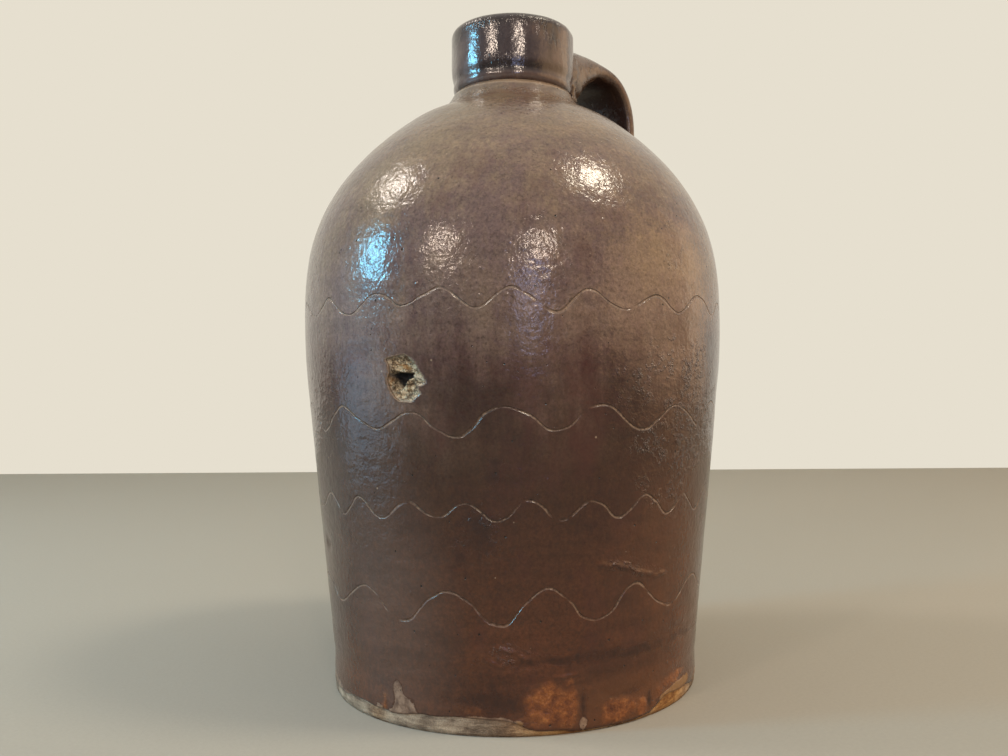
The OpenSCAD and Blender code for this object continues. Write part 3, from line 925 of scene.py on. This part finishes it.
# Darker drips and pools of slip; the bands round the waist at the front are painted shade
paint(ring, "pooled_and_shaded", (
    (-140, 258.6, 24, 2.2, 0, 0.75), (-95, 259.5, 10, 2.0, 0, 0.5), (-94, 274, 2.4, 6, 0, 0.8),
    (-104, 277, 3, 4, 20, 0.8), (-120, 279, 8, 3, 0, 0.7), (-160, 278, 10, 3, 0, 0.6),
    (-99, 268, 1.2, 8, 0, 0.6), (60, 275, 12, 4, 0, 0.8), (150, 276, 14, 4, 0, 0.7),
))
paint(ring, "burst", (
    (-98, 275, 7, 6, 0, 1.0), (-122, 279, 8, 3, 0, 0.8), (-146, 260, 8, 4, 0, 0.3),
    (-160, 278, 10, 3, 0, 0.5), (60, 275, 12, 5, 0, 0.8),
))
thicken(ring, COLLAR_COAT)
finish(ring, ("collar_glaze",), collar_slip)


# ---- The strap's coat, pulled, bent over and luted on

# Radii of the fillets of slip where it is luted on, and how deep its ends are bedded.
# It begins inside the collar's wall.
COLLAR_FILLET, SHOULDER_FILLET = 3.4, 3.0
COLLAR_BED, SHOULDER_BED = 0.35, 0.45
BEGIN_R = 16.6


def eased(x, a, b, power):
    """From 1 at a to 0 at b"""
    return (1 - min(max((x - a) / (b - a), 0), 1)) ** power


ARCH_Z, ARCH_R = NECK_Z + ARCH_H, REACH - ARCH_RUN
ROOT_Z, BEND_Z = NECK_Z + ROOT_H / 2 - ROOT_LAP, NECK_Z + ARCH_H - ARCH_FALL
LEAN = SHOULDER_DROP * SHOULDER_POWER / SHOULDER_RISE
TAIL_R = REACH + TAIL_RUN
TAIL_SHARE = ((BELT_R - TAIL_R) / SHOULDER_DROP) ** (1 / SHOULDER_POWER)
TAIL_Z = BELT_Z + SHOULDER_RISE * TAIL_SHARE
TAIL_LEAN = LEAN * TAIL_SHARE ** (SHOULDER_POWER - 1)
TAIL_WAY = np.array([-TAIL_LEAN, 1]) / hypot(TAIL_LEAN, 1)
PULL = (BEND_Z - TAIL_Z) / 2
ROOT_N, ARCH_N, TAIL_N, SECTION_N = 42, 44, 52, 56
rise = [COLLAR_FOOT_R + (ARCH_R - COLLAR_FOOT_R) * 0.3, ARCH_Z]
path = [
    cubic([MOUTH_R / 2, ROOT_Z], [COLLAR_FOOT_R, ROOT_Z + ROOT_LAP], rise, [ARCH_R, ARCH_Z], i / ROOT_N)
    for i in range(ROOT_N)
]
for i in range(ARCH_N + 1):
    w = radians(90 * (1 - i / ARCH_N))
    run, fall = (max(part(w), 0) ** (2 / BEND_POWER) for part in (cos, sin))
    path.append(np.array([ARCH_R + ARCH_RUN * run, BEND_Z + ARCH_FALL * fall]))
bend, tail = np.array([REACH, BEND_Z]), np.array([TAIL_R, TAIL_Z])
for i in range(1, TAIL_N + 1):
    path.append(cubic(bend, bend - [0, PULL], tail + TAIL_WAY * PULL, tail, i / TAIL_N))
path = np.array(path)
ways = np.gradient(path, axis=0)
ways /= np.linalg.norm(ways, axis=1)[:, None]


def strap_ring(i):
    """One cross-section of the strap, as points in millimetres"""
    x = path[i][0]
    late = max(i - ROOT_N - ARCH_N, 0) / TAIL_N
    thick = STRAP_T + (TAIL_T - STRAP_T) * late**3
    wide = STRAP_W + (TAIL_W - STRAP_W) * late**2
    if i <= ROOT_N + 8:
        thick += (ROOT_H - STRAP_T) * eased(x, COLLAR_FOOT_R, ARCH_R + STRAP_T, 1.9)
    if i <= ROOT_N:
        wide += (ROOT_W - STRAP_W) * eased(x, MOUTH_R, ARCH_R, 1.3)
    # The end is rounded like a tongue, thinned, and pressed down with a thumb
    end = max(late - 0.80, 0) / 0.20
    wide *= 1 - 0.55 * end**3.2
    thick *= 1 - 0.62 * end**1.5
    press = exp(-(((late - 0.86) / 0.10) ** 2))
    t = ways[i]
    n = np.array([-t[1], t[0]])
    c = path[i] + (COAT * t if i == len(path) - 1 else 0)
    points = []
    for k in range(SECTION_N):
        w = tau * k / SECTION_N
        u, v = (
            copysign(abs(part) ** (2 / SECTION_POWER), part) * (size / 2 + COAT)
            for part, size in ((cos(w), thick), (sin(w), wide))
        )
        # Pulling left two shallow grooves along the back of the strap
        if u > 0:
            u -= 0.45 * exp(-(((abs(v) - 5.5) / 2.2) ** 2)) * smooth((x - 34) / 10) * (1 - press)
            u -= 0.9 * press * exp(-((v / 7.0) ** 2))
        points.append((c[0] + u * n[0], v, c[1] + u * n[1]))
    return np.array(points)


SHOULDER = COAT_LINE[COAT_LINE[:, 1] > BELT_Z - 2]


def settle(points):
    """Seat a ring on the collar and the shoulder, with a luted fillet where it meets them"""
    middle = points.mean(0)
    done = []
    for p in points:
        r = hypot(p[0], p[1])
        collar = float(collar_r(p[2])) + COAT
        away = p - middle
        away /= max(np.linalg.norm(away), 1e-6)
        gap = r - collar if p[2] > NECK_Z - 1 else 99
        d = SHOULDER - np.array([r, p[2]])
        near = int(np.argmin((d * d).sum(1)))
        line_way = SHOULDER[min(near + 1, len(SHOULDER) - 1)] - SHOULDER[max(near - 1, 0)]
        normal = np.array([line_way[1], -line_way[0]]) / np.linalg.norm(line_way)
        lift = float(np.dot(np.array([r, p[2]]) - SHOULDER[near], normal))
        ragged = 1 + 0.35 * noise.noise(Vector(p / 4.0))
        top = float(smooth((COLLAR_TOP - 2.4 - p[2]) / 9))
        for room, fillet in ((gap, COLLAR_FILLET * ragged * top), (lift, SHOULDER_FILLET * ragged)):
            if room < fillet:
                g = max(room, 0)
                p = p + away * (fillet - sqrt(max(2 * fillet * g - g * g, 0))) * 0.8
        r, w = hypot(p[0], p[1]), atan2(p[1], p[0])
        if gap < 0:
            r = collar - COLLAR_BED
        p = np.array([r * cos(w), r * sin(w), p[2]])
        if lift < 0:
            spot = SHOULDER[near] - normal * SHOULDER_BED
            p = np.array([spot[0] * cos(w), spot[0] * sin(w), spot[1]])
        done.append(p)
    return np.array(done)


first = int(np.argmax(path[:, 0] > BEGIN_R))
bpy.ops.object.select_all(action="DESELECT")
bpy.ops.mesh.primitive_circle_add(vertices=SECTION_N, radius=STRAP_W / 2 * MM, fill_type="NGON")
strap = fresh("strap_coat")
bpy.ops.mesh.select_mode(type="VERT")
mesh = bmesh.from_edit_mesh(strap.data)
mesh.verts.ensure_lookup_table()
loop = list(mesh.verts)
for i in range(first, len(path)):
    if i > first:
        bpy.ops.mesh.extrude_region_move()
        mesh = bmesh.from_edit_mesh(strap.data)
        loop = [v for v in mesh.verts if v.select]
    # The extruded ring is laid into its place along the strap
    ringed = settle(strap_ring(i))
    mesh.verts.ensure_lookup_table()
    order = sorted(loop, key=lambda v: v.index)
    for v, p in zip(order, ringed):
        v.co = Vector(p) * MM
    bmesh.update_edit_mesh(strap.data)
bpy.ops.mesh.select_all(action="SELECT")
bpy.ops.mesh.normals_make_consistent(inside=False)
if bmesh.from_edit_mesh(strap.data).calc_volume(signed=True) < 0:
    bpy.ops.mesh.flip_normals()
mode("OBJECT")
# The underside is darkened as painted shade, and the whole strap a little; the sides are reddened, the
# outer edges paler where the slip wore thin and as a painted highlight, and the root stays ashy in
# streaks. Up is 1 on the back of the strap and -1 under it.
count = np.arange(len(strap.data.vertices))
lie = tau * (count % SECTION_N) / SECTION_N
up = np.cos(lie)
out = path[np.minimum(first + count // SECTION_N, len(path) - 1), 0]
streak = np.array([noise.noise(Vector((2.4 * cos(w), 2.4 * sin(w), x / 15))) for w, x in zip(lie, out)])
# Painted shade: darker under the strap and a little all over it
under = np.maximum(smooth((0.6 * streak - up - 0.30) / 0.5) * smooth((out - 34) / 12), 0.30)
ashy = 0.55 * smooth((streak + 0.12) / 0.4) * (1 - smooth((out - 44) / 14))
# Paler outer edges, where the slip wore thin, with a painted highlight along them
thin_edge_and_highlight = 0.9 * np.exp(-(((up - 0.52) / 0.24) ** 2)) * smooth((out - 40) / 12)
wine = 0.9 * np.exp(-(((up - 0.02) / 0.36) ** 2)) * smooth((out - 40) / 10)
for key, value in (("dim", under), ("edge", thin_edge_and_highlight), ("veil", ashy), ("plum", wine)):
    brush(strap, key, value)
paint(strap, "rough", (), base=0.35)
finish(strap, ("handle_glaze", "strap_handle"), brown_glaze)


# ---- CAD nodes that stay, hidden or seen through the mouth

for node, material in (("neck_collar", collar_slip), ("lining_glaze", inner_slip)):
    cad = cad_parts[node]
    cad.data.materials.clear()
    cad.data.materials.append(material)


# ---- Studio, in the camera's own frame, turned so that the handle lies to the back right

TURN = Matrix.Rotation(radians(-47.0), 4, "Z")
WALL_TINT = "#e6dfcf"
# The photograph's width, and what fitting a camera to it gave: in pixels, degrees and metres
FRAME_W, FOCAL, SIDEWAYS = 1008, 905, -46.5
DOWN, ROLL = 0.776, -0.366
EYE = (0.01585, -0.39984, 0.12318)
# The lamps are aimed at a point in the jug at this height
AIM_Z = 0.17

bpy.ops.object.select_all(action="DESELECT")
bpy.ops.mesh.primitive_plane_add(size=6.0, location=(0, 0, 0))
floor = bpy.context.object
floor.name = "floor"
floor.data.materials.append(studio_matt("pale_matt_board", "#a8a59b", 1.6, 0.85, dim="#6e6a62"))
bpy.ops.mesh.primitive_plane_add(size=6.0, location=(0, 0, 0))
backdrop = bpy.context.object
backdrop.name = "backdrop"
upright = Matrix.Rotation(radians(90), 4, "X")
backdrop.data.transform(TURN @ Matrix.Translation((0, 0.99, 2.9)) @ upright)
backdrop.data.materials.append(studio_matt("cream_painted_wall", WALL_TINT, 5.0, 0.9))

camera = bpy.data.objects.new("camera", bpy.data.cameras.new("camera"))
bpy.context.collection.objects.link(camera)
camera.data.sensor_width = 36.0
camera.data.lens = FOCAL / FRAME_W * 36.0
camera.data.shift_x = SIDEWAYS / FRAME_W
camera.data.clip_start = 0.01
tilt = Matrix.Rotation(radians(90 + DOWN), 4, "X") @ Matrix.Rotation(radians(ROLL), 4, "Z")
camera.matrix_world = TURN @ Matrix.Translation(EYE) @ tilt
bpy.context.scene.camera = camera


def lamp(name, bearing, rise, far, size, tall, code, power, shape="ELLIPSE"):
    """An area lamp seen at this bearing from the camera's side, aimed at the jug"""
    data = bpy.data.lights.new(name, "AREA")
    data.shape = shape
    data.size, data.size_y = size, tall
    data.color = hue(code)[:3]
    data.energy = power
    obj = bpy.data.objects.new(name, data)
    bpy.context.collection.objects.link(obj)
    b, e = radians(bearing), radians(rise)
    spot = Vector((sin(b) * cos(e), -cos(b) * cos(e), sin(e))) * far
    aim = spot.to_track_quat("Z", "Y").to_matrix().to_4x4()
    obj.matrix_world = TURN @ Matrix.Translation(spot + Vector((0, 0, AIM_Z))) @ aim
    obj.visible_camera = False


lamp("key_right", 71, 57, 1.3, 0.27, 0.27, "#fff0d8", 5.8)
lamp("key_left", -90, 46, 1.3, 0.24, 0.24, "#fff2e6", 3.6)
lamp("small_left", -36, 23, 1.4, 0.15, 0.17, "#ffe8d4", 2.6)
lamp("small_right", 14, 22, 1.4, 0.14, 0.19, "#ffe8d4", 2.8)
lamp("cool_window", -76, 18, 1.3, 0.21, 0.34, "#7cd8ff", 6.0)
lamp("cool_low", -79, -14, 0.6, 0.38, 0.22, "#a4c8e8", 0.36)
lamp("cool_glow", 10, 7, 1.4, 0.18, 0.34, "#b4c0f0", 1.1)
lamp("broad_right", 88, 5, 1.6, 2.5, 1.4, "#ffce96", 13.0, "RECTANGLE")
lamp("broad_left", -84, 4, 1.6, 1.1, 1.3, "#e4ecf6", 3.0)

world = bpy.data.worlds.new("soft_room")
bpy.context.scene.world = world
world.use_nodes = True
t = world.node_tree
t.nodes.clear()
# A broad soft ceiling of light, dimmer towards the horizon
way = add(t, "TexCoord").outputs["Generated"]
up = add(t, "SeparateXYZ", {0: way})
level = add(t, "MapRange", {"Value": up.outputs[2], "To Min": 0.16, "To Max": 1.0})
seen = add(t, "LightPath").outputs["Is Camera Ray"]
level = add(t, "Mix", {0: seen, 2: level, 3: 1.0}, data_type="FLOAT")
shade = add(t, "Mix", {0: seen, 6: hue("#f6f0e6"), 7: hue(WALL_TINT)})
add(t, "OutputWorld", {"Surface": add(t, "Background", {"Color": shade, "Strength": level})})

bpy.context.scene.view_settings.view_transform = "Standard"
